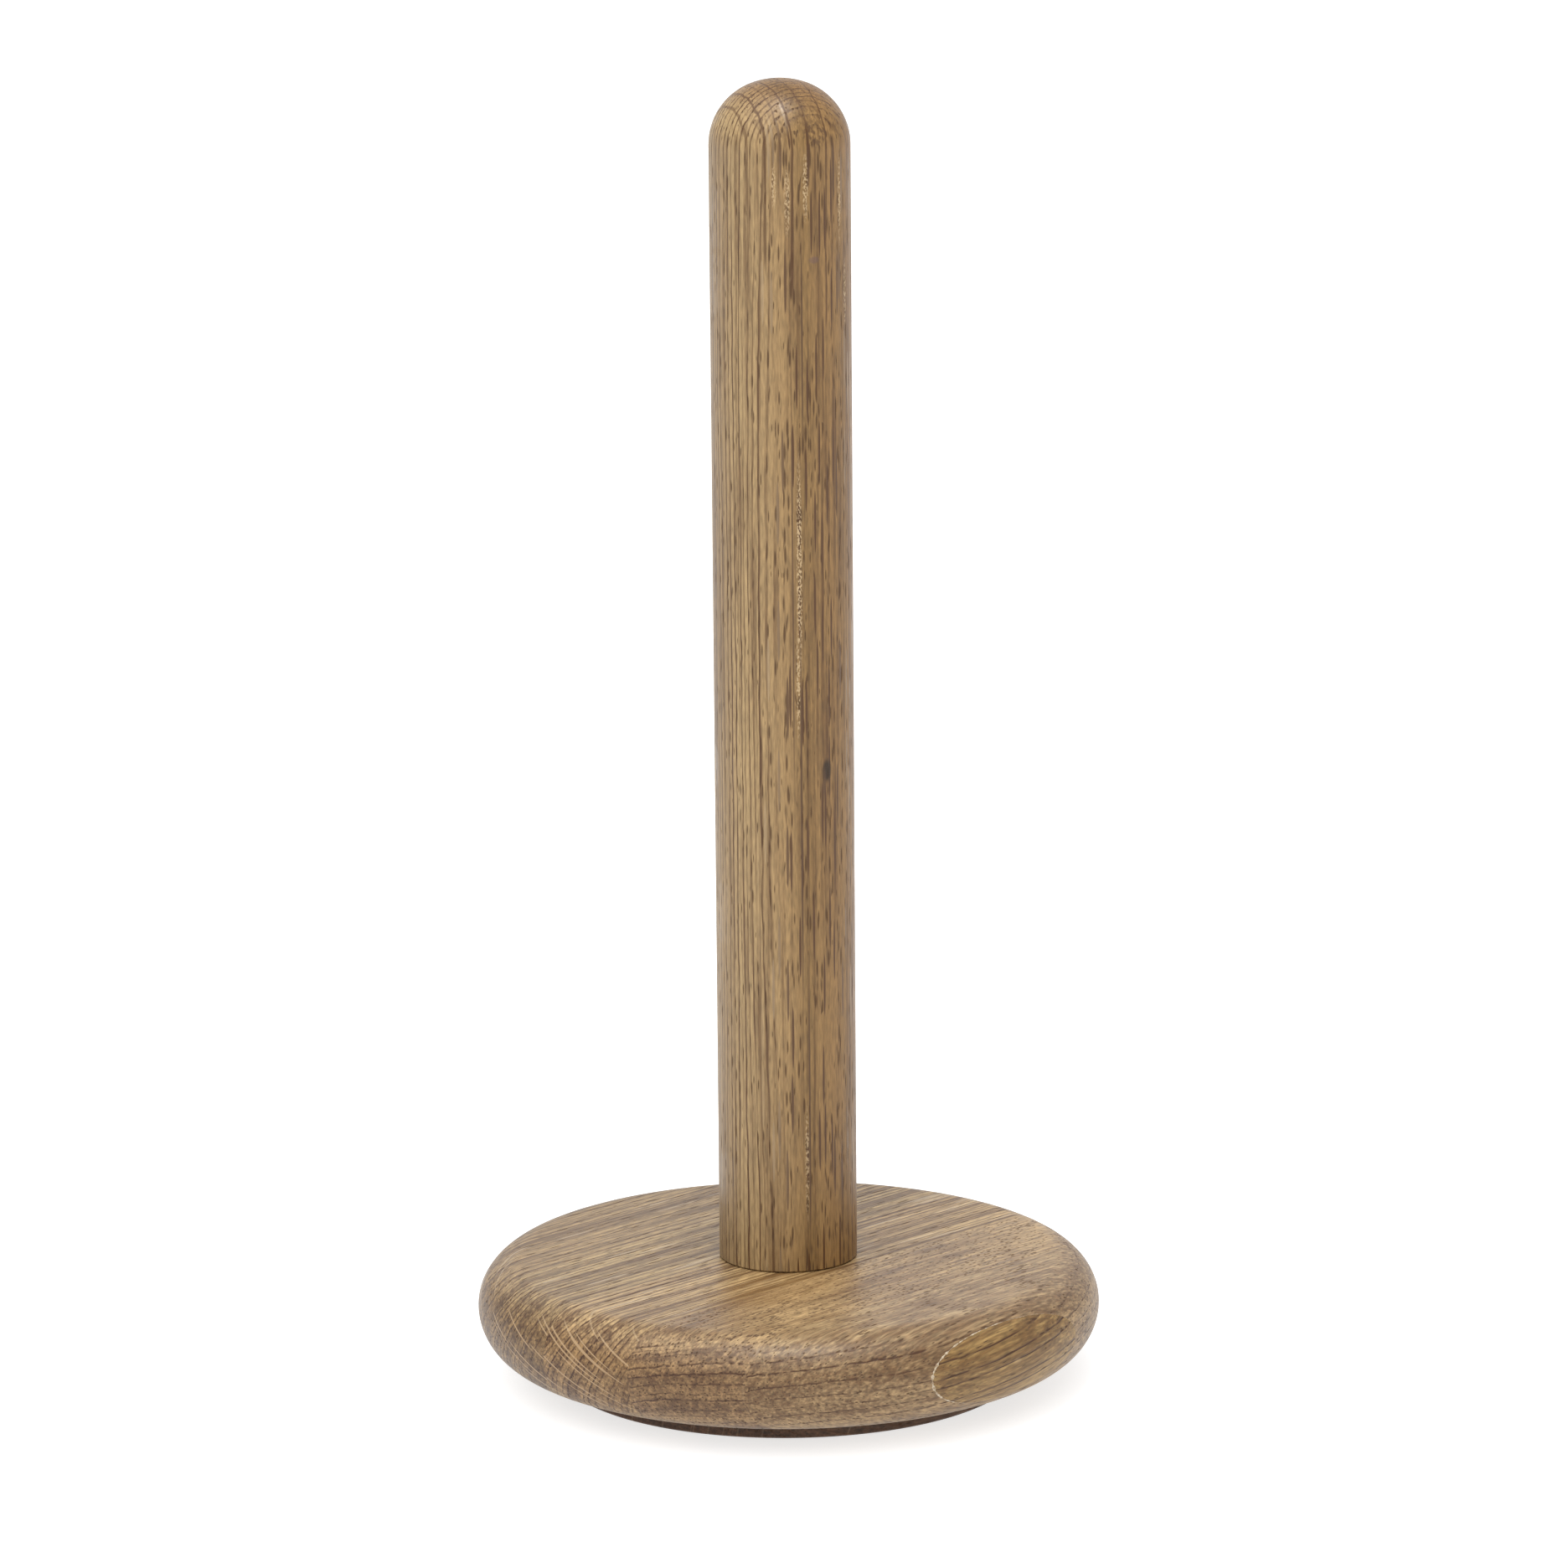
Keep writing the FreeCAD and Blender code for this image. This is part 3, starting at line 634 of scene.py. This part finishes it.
def oak(name, node, axes, board):
    """Oak, turned, sanded fine and oiled: brown lines of early wood, open pores, rays and a satin shine.

    The figure is solid, so it runs through the piece as in a real board. Board point (g, p, q) gives the
    distance from the pith, sqrt((p + pith)^2 + (q - level)^2) - pith, shaken a little by two noises. The ring
    list turns that distance into a count of rings; what is past the whole number is the depth into the year's
    growth, as a part of the ring's width. The first half millimetre is the dark early wood.
    """
    sizes = bpy.context.scene.holder_sizes
    shades = bpy.context.scene.holder_colours
    board = {**PLAIN_BOARD, **board}
    rings = board_rings(node, axes, board)
    turn = axes.to_euler("XYZ")
    material, add, where, point = new_material(name, turn)
    along, out, across = add("SeparateXYZ", (point,)).outputs
    facing = add("Mapping", {"Vector": where.outputs["Normal"], "Rotation": turn}, vector_type="VECTOR")
    facing = add("SeparateXYZ", (add("VectorMath", (facing,), operation="ABSOLUTE"),))
    flat_sawn = add("MapRange", (facing.outputs["Y"], 0.6, 0.95), **SOFT)
    end_grain = add("MapRange", (facing.outputs["X"], 0.5, 0.95), **SOFT)

    # Stretched noises for bends of the grain, shakes, ends of vessels, fibre streaks, slow tones and grit:
    # size along the grain, along the radius and across, shift from the board's seed, and detail.
    fibre_width = sizes.fibre_width / MM
    noises = []
    for stretch, shift, detail in (
            ((90.0, 16.0, 16.0), 0.0, 1.0),
            ((11.0, 1.6, 1.6), 0.0, 1.0),
            ((board["vessel_end"], 0.9, 0.9), 3.0, 2.0),
            ((40.0, fibre_width, fibre_width), 0.0, 2.0),
            ((60.0, 7.0, 9.0), 7.0, 2.0),
            ((2.6, 0.38, 0.38), 0.0, 1.0)):
        noise = add("VectorMath", (point, tuple(1.0 / size for size in stretch)), **TIMES)
        noises.append(add("TexNoise", (noise, board["seed"] + shift, 1.0, detail), noise_dimensions="4D"))
    sway, shake, broken, fibre, tone, grit = noises
    bend = add("MapRange", (sway, 0.0, 1.0, -board["sway"], board["sway"]))
    bend = add("Math", (shake, 0.7, add("Math", (bend, -0.35), **PLUS)), **TIMES_PLUS)
    out = add("Math", (out, bend), **PLUS)
    if "bow" in board:
        # The rings bulge towards the bark round one height, less so by the square of the distance from it.
        middle, half, reach, first, last = board["bow"]
        lift = add("MapRange", (along, middle - half, middle + half, -1.0, 1.0))
        lift = add("Math", (lift, lift), **TIMES)
        lift = add("Math", (lift, -reach, reach), **TIMES_PLUS)
        out = add("Math", (lift, add("MapRange", (out, first, last), **SOFT), out), **TIMES_PLUS)

    # Ring count, strength of this ring's line, and how far into the ring the point lies, from 0 to 1.
    pith, level = board["pith"]
    radial = add("CombineXYZ", (0.0, add("Math", (out, pith), **PLUS), add("Math", (across, -level), **PLUS)))
    radial = add("VectorMath", (radial,), operation="LENGTH")
    count = add("MapRange", (radial.outputs["Value"], rings[0][0] + pith, rings[-1][0] + pith))
    count = add("ValToRGB", (count,))
    set_stops(count, ring_stops(rings, board["line"]))
    ring_count, strength, early_part = add("SeparateColor", (count,)).outputs
    depth = add("Math", (add("Math", (ring_count, len(rings) - 1.0), **TIMES),), operation="FRACT")

    # The early-wood line is broken along the grain where its vessels end. On a flat-sawn face a ring is cut
    # so slantwise that its line spreads out and pales.
    broken = add("MapRange", (broken, 0.38, 0.5, board["gaps"], 1.1))
    full_from = add("Math", (early_part, 0.35), **TIMES)
    early = add("MapRange", (depth, early_part, full_from, 0.0, strength), **SOFT)
    early = add("Math", (early, broken), use_clamp=True, **TIMES)
    early = add("Math", (early, add("MapRange", (flat_sawn, 0.0, 1.0, 1.0, board["flat_line"]))), **TIMES)

    # Open pores: vessels 0.3 mm wide lie thickest in the early wood and are scattered through the rest.
    pore_cell = (sizes.pore_length * board["pore_stretch"], sizes.pore_width, sizes.pore_width)
    vessel = add("VectorMath", (point, tuple(MM / size for size in pore_cell)), **TIMES)
    vessel = add("TexVoronoi", {"Vector": vessel, "Scale": 1.0})
    thin_from = add("Math", (early_part, 2.0), **TIMES)
    thick_from = add("Math", (early_part, 0.2), **TIMES)
    thickest = add("Math", (strength, 0.3, 0.22), **TIMES_PLUS)
    zone = add("MapRange", (depth, thin_from, thick_from, board["scatter"], thickest))
    pore = add("MapRange", (vessel.outputs["Distance"], zone, add("Math", (zone, 0.5), **TIMES)), **SOFT)

    # Medullary rays: thin sheets along the radius. The place along the radius doesn't count for tall ones.
    ray = add("VectorMath", (point, tuple(1.0 / size for size in board["ray_cell"])), **TIMES)
    if board["tall_rays"]:
        ray = add("SeparateXYZ", (ray,))
        ray = add("CombineXYZ", (ray.outputs["X"], ray.outputs["Z"]))
    dimensions = "2D" if board["tall_rays"] else "3D"
    ray = add("TexVoronoi", {"Vector": ray, "Scale": 1.0}, voronoi_dimensions=dimensions)
    chance = add("SeparateColor", (ray.outputs["Color"],)).outputs[0]
    chosen = add("Math", (chance, 1.0 - board["rays"]), operation="GREATER_THAN")
    ray = add("MapRange", (ray.outputs["Distance"], board["ray_size"], board["ray_size"] * 0.85), **SOFT)
    ray = add("Math", (ray, chosen), **TIMES)
    quartered, end_show, flat_show = board["ray_show"]
    ray_part = add("MapRange", (end_grain, 0.0, 1.0, quartered, end_show))
    ray_part = add("MapRange", (flat_sawn, 0.0, 1.0, ray_part, flat_show))
    ray_shade = add("Mix", {0: flat_sawn, 6: rgba(shades.ray_pale), 7: rgba(shades.ray_dark)}, **BLEND)

    # The bare wood's colour runs from light to deep with the fibre, the slow tones and each ring's own tone.
    tone = add("Math", (tone, 0.5, add("Math", (fibre, 1.3), **TIMES)), **TIMES_PLUS)
    tone = add("Math", (count.outputs["Alpha"], board["ring_tone"], tone), **TIMES_PLUS)
    tone = add("MapRange", (tone, board["tone_from"], 1.32))
    shade = add("Mix", {0: tone, 6: rgba(board["light"]), 7: rgba(board["deep"])}, **BLEND)

    # What is laid over it, from the bottom up: how much, which colour, and whether it covers or tints.
    layers = []
    if "tones" in board:
        # Tints at places across the board: sapwood, heartwood and stain, and on the post painted light as
        # well, its left side lighter and its edges washed out as painted sheen.
        low, high = board["tones"][0][0], board["tones"][-1][0]
        tint = add("ValToRGB", (add("MapRange", (across, low, high)),))
        set_stops(tint, [((spot - low) / (high - low), rgba(code)) for spot, code in board["tones"]])
        layers.append((1.0, tint, TINT))
    grit = add("MapRange", (grit, 0.3, 0.7, 1.0 - board["grit"], 1.0 + board["grit"]), clamp=False)
    layers += [(1.0, grit, TINT),
               (early, rgba(shades.ring), BLEND),
               (add("Math", (pore, board["pores"]), **TIMES), rgba(shades.pore), BLEND),
               (add("Math", (ray, ray_part), **TIMES), ray_shade, BLEND),
               (add("Math", (end_grain, 0.5), **TIMES), rgba("#d0bfae"), TINT)]
    if board["side_shade"]:
        # Painted shade: the turned rim is darker than the flat top wherever it faces sideways, as light from
        # above leaves it.
        upright = add("SeparateXYZ", (where.outputs["Normal"],)).outputs["Z"]
        side_shade_part = add("MapRange", (upright, 0.98, 0.5, 0.0, board["side_shade"]), **SOFT)
        layers.append((side_shade_part, rgba("#bfab95"), TINT))
    for spot, low, high, most in board["sheets"]:
        near = add("Math", (add("Math", (across, bend), **PLUS), -spot), **PLUS)
        near = add("MapRange", (add("Math", (near,), operation="ABSOLUTE"), 0.3, 0.1), **SOFT)
        near = add("Math", (near, add("MapRange", (along, low, low + 6.0, 0.0, most), **SOFT)), **TIMES)
        near = add("Math", (near, add("MapRange", (along, high + 3.0, high), **SOFT)), **TIMES)
        layers.append((near, rgba(shades.ray_dark), BLEND))
    layers += [oak_mark(add, point, mark) for mark in board["marks"]]
    for part, laid, settings in layers:
        shade = add("Mix", {0: part, 6: shade, 7: laid}, **settings)

    # Pores are rough and rays polish up; both the pores and the early wood lie a little low.
    rough = add("Math", (pore, 0.25, board["rough"]), **TIMES_PLUS)
    rough = add("Math", (ray, -0.1, rough), **TIMES_PLUS)
    relief = add("Math", (fibre, 0.35), **TIMES)
    relief = add("Math", (pore, -0.8, relief), **TIMES_PLUS)
    relief = add("Math", (early, -0.5, relief), **TIMES_PLUS)
    relief = add("Bump", {"Strength": 0.5, "Distance": 0.12 * MM, "Height": relief})
    return finish_material(material, {"Base Color": shade, "Roughness": rough, "Normal": relief, "IOR": 1.42})


def oak_mark(add, point, mark):
    """A layer for a knot, stain, pale streak or painted shade: a soft-edged ellipsoid about a board point.

    The mark is its centre, half sizes, colour and strength, and the size of the specks it breaks into, or 0.
    """
    centre, size, code, strength, speck = mark
    away = add("VectorMath", (point, tuple(centre)), operation="SUBTRACT")
    away = add("VectorMath", (away, size), operation="DIVIDE")
    away = add("VectorMath", (away,), operation="LENGTH").outputs["Value"]
    part = add("MapRange", (away, 1.0, 0.45, 0.0, strength), **SOFT)
    if speck:
        specks = add("VectorMath", (point, (0.5 / speck, 1 / speck, 1 / speck)), **TIMES)
        specks = add("TexNoise", {"Vector": specks, "Scale": 1.0, "Detail": 1.0})
        part = add("Math", (part, add("MapRange", (specks, 0.45, 0.6))), **TIMES)
    return part, rgba(code), BLEND


def plated_steel(name):
    """Zinc-plated steel, turned and tumbled: bluish silver, with fine lathe rings and a dulled shine.

    The rings are 0.05 mm apart on a real part and are drawn at 0.35 mm so that they show.
    """
    material, add, _, point = new_material(name)
    rings = add("TexWave", {"Vector": point, "Scale": 0.9, "Distortion": 0.6, "Detail": 1.0},
                wave_type="RINGS", rings_direction="Z")
    cloud = add("TexNoise", {"Vector": point, "Scale": 0.35, "Detail": 3.0})
    grit = add("TexNoise", {"Vector": point, "Scale": 4.0, "Detail": 2.0})
    zinc = rgba(bpy.context.scene.holder_colours.zinc)
    relief = add("Math", (grit, 0.5, rings), **TIMES_PLUS)
    return finish_material(material, {
        "Base Color": add("Mix", {0: cloud, 6: zinc, 7: rgba("#9fa4a9")}, **BLEND),
        "Roughness": add("MapRange", (cloud, 0.3, 0.7, 0.26, 0.42)),
        "Normal": add("Bump", {"Strength": 0.3, "Distance": 0.02 * MM, "Height": relief}),
        "Metallic": 1.0})


def turned_brass(name):
    """Brass bar, turned: warm yellow metal with close tool lines round it and faint tarnish in its tone."""
    material, add, _, point = new_material(name)
    lines = add("TexWave", {"Vector": point, "Scale": 0.5, "Distortion": 0.3}, bands_direction="Z")
    cloud = add("TexNoise", {"Vector": point, "Scale": 0.5, "Detail": 3.0})
    brass = rgba(bpy.context.scene.holder_colours.brass)
    return finish_material(material, {
        "Base Color": add("Mix", {0: cloud, 6: brass, 7: rgba("#a5803c")}, **BLEND),
        "Roughness": add("MapRange", (cloud, 0.0, 1.0, 0.24, 0.4)),
        "Normal": add("Bump", {"Strength": 0.4, "Distance": 0.03 * MM, "Height": lines}),
        "Metallic": 1.0})


def moulded_rubber(name):
    """Synthetic rubber from a lightly blasted mould: near black, with a fine even grain and a dull shine."""
    material, add, _, point = new_material(name)
    grain = add("TexVoronoi", {"Vector": point, "Scale": 2.5}).outputs["Distance"]
    dust = add("TexNoise", {"Vector": point, "Scale": 0.8, "Detail": 4.0})
    dust = add("MapRange", (dust, 0.5, 0.8, 0.0, 0.5))
    rubber = rgba(bpy.context.scene.holder_colours.rubber)
    return finish_material(material, {
        "Base Color": add("Mix", {0: dust, 6: rubber, 7: rgba("#4c4a47")}, **BLEND),
        "Roughness": add("MapRange", (grain, 0.0, 1.0, 0.85, 0.65)),
        "Normal": add("Bump", {"Strength": 0.5, "Distance": 0.05 * MM, "Height": grain})})


def dried_glue(name):
    """Wood glue, dried where it was squeezed out and sanded: cream, waxy, with sanding dust caught in it."""
    material, add, _, point = new_material(name)
    dust = add("TexNoise", {"Vector": point, "Scale": 1.6, "Detail": 3.0})
    dust = add("MapRange", (dust, 0.42, 0.62))
    glue = rgba(bpy.context.scene.holder_colours.glue)
    return finish_material(material, {
        "Base Color": add("Mix", {0: dust, 6: glue, 7: rgba("#8d765a")}, **BLEND),
        "Roughness": 0.55,
        "Normal": add("Bump", {"Strength": 0.5, "Distance": 0.05 * MM, "Height": dust}),
        "IOR": 1.48})


def glowing_floor(name):
    """Frosted acrylic over a light table: white with a faint mottle, and aglow so that shadows stay faint."""
    material, add, _, point = new_material(name)
    mottle = add("TexNoise", {"Vector": point, "Scale": 0.04, "Detail": 3.0})
    pale = rgba(bpy.context.scene.holder_colours.floor)
    return finish_material(material, {
        "Base Color": add("Mix", {0: mottle, 6: pale, 7: rgba("#b6b6b6")}, **BLEND),
        "Roughness": 0.95,
        "Emission Color": (1.0, 1.0, 1.0, 1.0),
        "Emission Strength": 0.7})


# ---- Operators: one for each piece or group of like pieces, and the stage ----


class HOLDER_OT_post(bpy.types.Operator):
    """Turn the oak post with its spigot, bore and dome"""
    bl_idname = "towel_holder.post"
    bl_label = "Post"

    def execute(self, context):
        sizes = context.scene.holder_sizes
        axes = post_axes(POST_TURN)
        material = oak("oiled_oak_post", "post", axes, post_board(axes))
        made = turned_mesh(post_section(sizes), sizes.post_steps, closed=False)
        finish_piece("turned_post", made, material, "post")
        return {"FINISHED"}


class HOLDER_OT_staves(bpy.types.Operator):
    """Turn the base and part it at its glue planes, each stave with its own board"""
    bl_idname = "towel_holder.staves"
    bl_label = "Base staves"

    def execute(self, context):
        sizes = context.scene.holder_sizes
        for number, node in enumerate(STAVES, start=1):
            # Every stave's rim gets painted shade where it faces sideways.
            board = {"number": number, "seed": 3.1 * number, "side_shade": 0.4, "lean": 0.0, "rings": (),
                     **STAVE_BOARDS[node]}
            axes = stave_axes(board["tilt"], board["lean"])
            board["pith"] = (board["pith"], on_top(axes, board["heart"])[2])
            # A browner patch on the top in front of the post: painted shade and a painted reflection of the
            # post.
            if number in (3, 4):
                board["marks"] = [(on_top(axes, 17.0, -20.0), (24.0, 15.0, 15.0), "#98733f", 0.22, 0.0)]
            board["known"] = [(ring_distance(on_top(axes, place), *board["pith"]), strength)
                              for place, strength in board["rings"]]
            material = oak(f"oiled_oak_stave_{number}", node, axes, board)
            near, far = stave_span(node)
            made = turned_mesh(base_section(sizes), sizes.base_steps, closed=True)
            cut_stave(made, near, far)
            piece = finish_piece(f"turned_stave_{number}", made, material, node)
            true_rim(piece.data, sizes)
        return {"FINISHED"}


class HOLDER_OT_glue(bpy.types.Operator):
    """Lay the dried glue round the oval where the near glue plane meets the rim"""
    bl_idname = "towel_holder.glue"
    bl_label = "Glue line"

    def execute(self, context):
        sizes = context.scene.holder_sizes
        near, _ = stave_span("base_stave_1")
        finish_piece("glue_line", glue_bead(sizes, near), dried_glue("dried_wood_glue"))
        return {"FINISHED"}


class HOLDER_OT_foot(bpy.types.Operator):
    """Finish the foot disc in oak, its colour darkened by painted shade"""
    bl_idname = "towel_holder.foot"
    bl_label = "Foot disc"

    def execute(self, context):
        axes = stave_axes(-78.0, 0.0)
        # The foot's light and deep colours are dark as painted shade from under the rim.
        board = {"pith": (120.0, 0.0), "pitch": 1.8, "number": 21, "seed": 9.0, "light": "#614531",
                 "deep": "#3f2c1e", "ray_show": (0.1, 0.1, 0.3), "rough": 0.6, "pores": 0.75}
        cover_node("foot_disc", oak("oak_foot_painted_shade", "foot_disc", axes, board))
        return {"FINISHED"}


def cover_node(node, material):
    """Put one material in every slot of a CAD node."""
    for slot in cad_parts[node].material_slots:
        slot.material = material


class HOLDER_OT_fastenings(bpy.types.Operator):
    """Finish the bolt, washer, threaded insert and wood screws in their metals"""
    bl_idname = "towel_holder.fastenings"
    bl_label = "Fastenings"

    def execute(self, context):
        zinc = plated_steel("zinc_plated_steel")
        for node in ("centre_bolt", "bolt_washer", "foot_screws"):
            cover_node(node, zinc)
        cover_node("threaded_insert", turned_brass("turned_brass"))
        return {"FINISHED"}


class HOLDER_OT_pads(bpy.types.Operator):
    """Finish the anti-slip pads in moulded rubber"""
    bl_idname = "towel_holder.pads"
    bl_label = "Pads"

    def execute(self, context):
        cover_node("anti_slip_pads", moulded_rubber("moulded_rubber"))
        return {"FINISHED"}


class HOLDER_OT_stage(bpy.types.Operator):
    """Lay the floor, hang the soft lights and set up the camera"""
    bl_idname = "towel_holder.stage"
    bl_label = "Stage"

    def execute(self, context):
        stage_floor()
        stage_lights()
        stage_camera()
        context.scene.view_settings.view_transform = "Standard"
        return {"FINISHED"}


def stage_floor():
    """A flat square floor of one face, at z = 0."""
    half = 20.0
    corners = [(-half, -half, 0.0), (half, -half, 0.0), (half, half, 0.0), (-half, half, 0.0)]
    mesh = bpy.data.meshes.new("floor")
    mesh.from_pydata(corners, [], [(0, 1, 2, 3)])
    mesh.materials.append(glowing_floor("frosted_light_table"))
    floor = bpy.data.objects.new("floor", mesh)
    bpy.context.scene.collection.objects.link(floor)


def stage_lights():
    """A pale surround, a wide soft sun high on the left, and soft boxes almost overhead and low behind."""
    world = bpy.data.worlds.new("studio")
    world.use_nodes = True
    surround = world.node_tree.nodes["Background"].inputs
    surround["Color"].default_value = (1.0, 1.0, 1.0, 1.0)
    surround["Strength"].default_value = 0.75
    bpy.context.scene.world = world
    middle = Vector((0.0, 0.0, high_of("post") / 2.0))
    for name, kind, spot, settings in (
            ("sky_light", "SUN", (-0.6, -0.8, 2.2), {"energy": 2.0, "angle": math.radians(80.0)}),
            ("top_light", "AREA", (0.05, -0.35, 1.6), {"energy": 9.0, "shape": "DISK", "size": 0.4}),
            ("back_light", "AREA", (0.1, 1.6, 0.75),
             {"energy": 3.5, "shape": "RECTANGLE", "size": 2.4, "size_y": 0.9})):
        data = bpy.data.lights.new(name, kind)
        for key, setting in settings.items():
            setattr(data, key, setting)
        light = bpy.data.objects.new(name, data)
        light.location = spot
        light.rotation_euler = (middle - Vector(spot)).to_track_quat("-Z", "Y").to_euler()
        light.visible_camera = False
        bpy.context.scene.collection.objects.link(light)


def stage_camera():
    """The camera in front, 12 degrees up, turned about its own axis by under half a degree."""
    pitch = math.radians(12.0715)
    roll = math.radians(-0.46055)
    distance = 1443.564 * MM
    target = Vector((-0.1223, 0.0, 135.345)) * MM
    right = Vector((1.0, 0.0, 0.0))
    forward = Vector((0.0, math.cos(pitch), -math.sin(pitch)))
    down = Vector((0.0, -math.sin(pitch), -math.cos(pitch)))
    side = right * math.cos(roll) - down * math.sin(roll)
    below = right * math.sin(roll) + down * math.cos(roll)
    data = bpy.data.cameras.new("camera")
    data.sensor_width = 36.0
    data.lens = 149.306
    camera = bpy.data.objects.new("camera", data)
    turn = Matrix((side, -below, -forward)).transposed().to_4x4()
    camera.matrix_world = Matrix.Translation(target - forward * distance) @ turn
    bpy.context.scene.collection.objects.link(camera)
    bpy.context.scene.camera = camera


STEPS = (HOLDER_OT_post, HOLDER_OT_staves, HOLDER_OT_glue, HOLDER_OT_foot, HOLDER_OT_fastenings,
         HOLDER_OT_pads, HOLDER_OT_stage)


class HOLDER_PT_panel(bpy.types.Panel):
    """The holder's sizes, colours and steps"""
    bl_idname = "HOLDER_PT_panel"
    bl_label = "Towel Holder"
    bl_space_type = "VIEW_3D"
    bl_region_type = "UI"
    bl_category = "Towel Holder"

    def draw(self, context):
        for group in (context.scene.holder_sizes, context.scene.holder_colours):
            box = self.layout.box()
            for name in group.__annotations__:
                box.prop(group, name)
        for step in STEPS:
            self.layout.operator(step.bl_idname)


CLASSES = (HolderSizes, HolderColours, *STEPS, HOLDER_PT_panel)


def register():
    """Register the classes and hang the two groups of settings on the scene."""
    for kind in CLASSES:
        bpy.utils.register_class(kind)
    bpy.types.Scene.holder_sizes = PointerProperty(type=HolderSizes)
    bpy.types.Scene.holder_colours = PointerProperty(type=HolderColours)


def unregister():
    """Take the settings and the classes off again."""
    del bpy.types.Scene.holder_colours
    del bpy.types.Scene.holder_sizes
    for kind in reversed(CLASSES):
        bpy.utils.unregister_class(kind)


def main():
    """Make every piece in order."""
    register()
    bpy.ops.towel_holder.post()
    bpy.ops.towel_holder.staves()
    bpy.ops.towel_holder.glue()
    bpy.ops.towel_holder.foot()
    bpy.ops.towel_holder.fastenings()
    bpy.ops.towel_holder.pads()
    bpy.ops.towel_holder.stage()


if __name__ == "__main__":
    main()
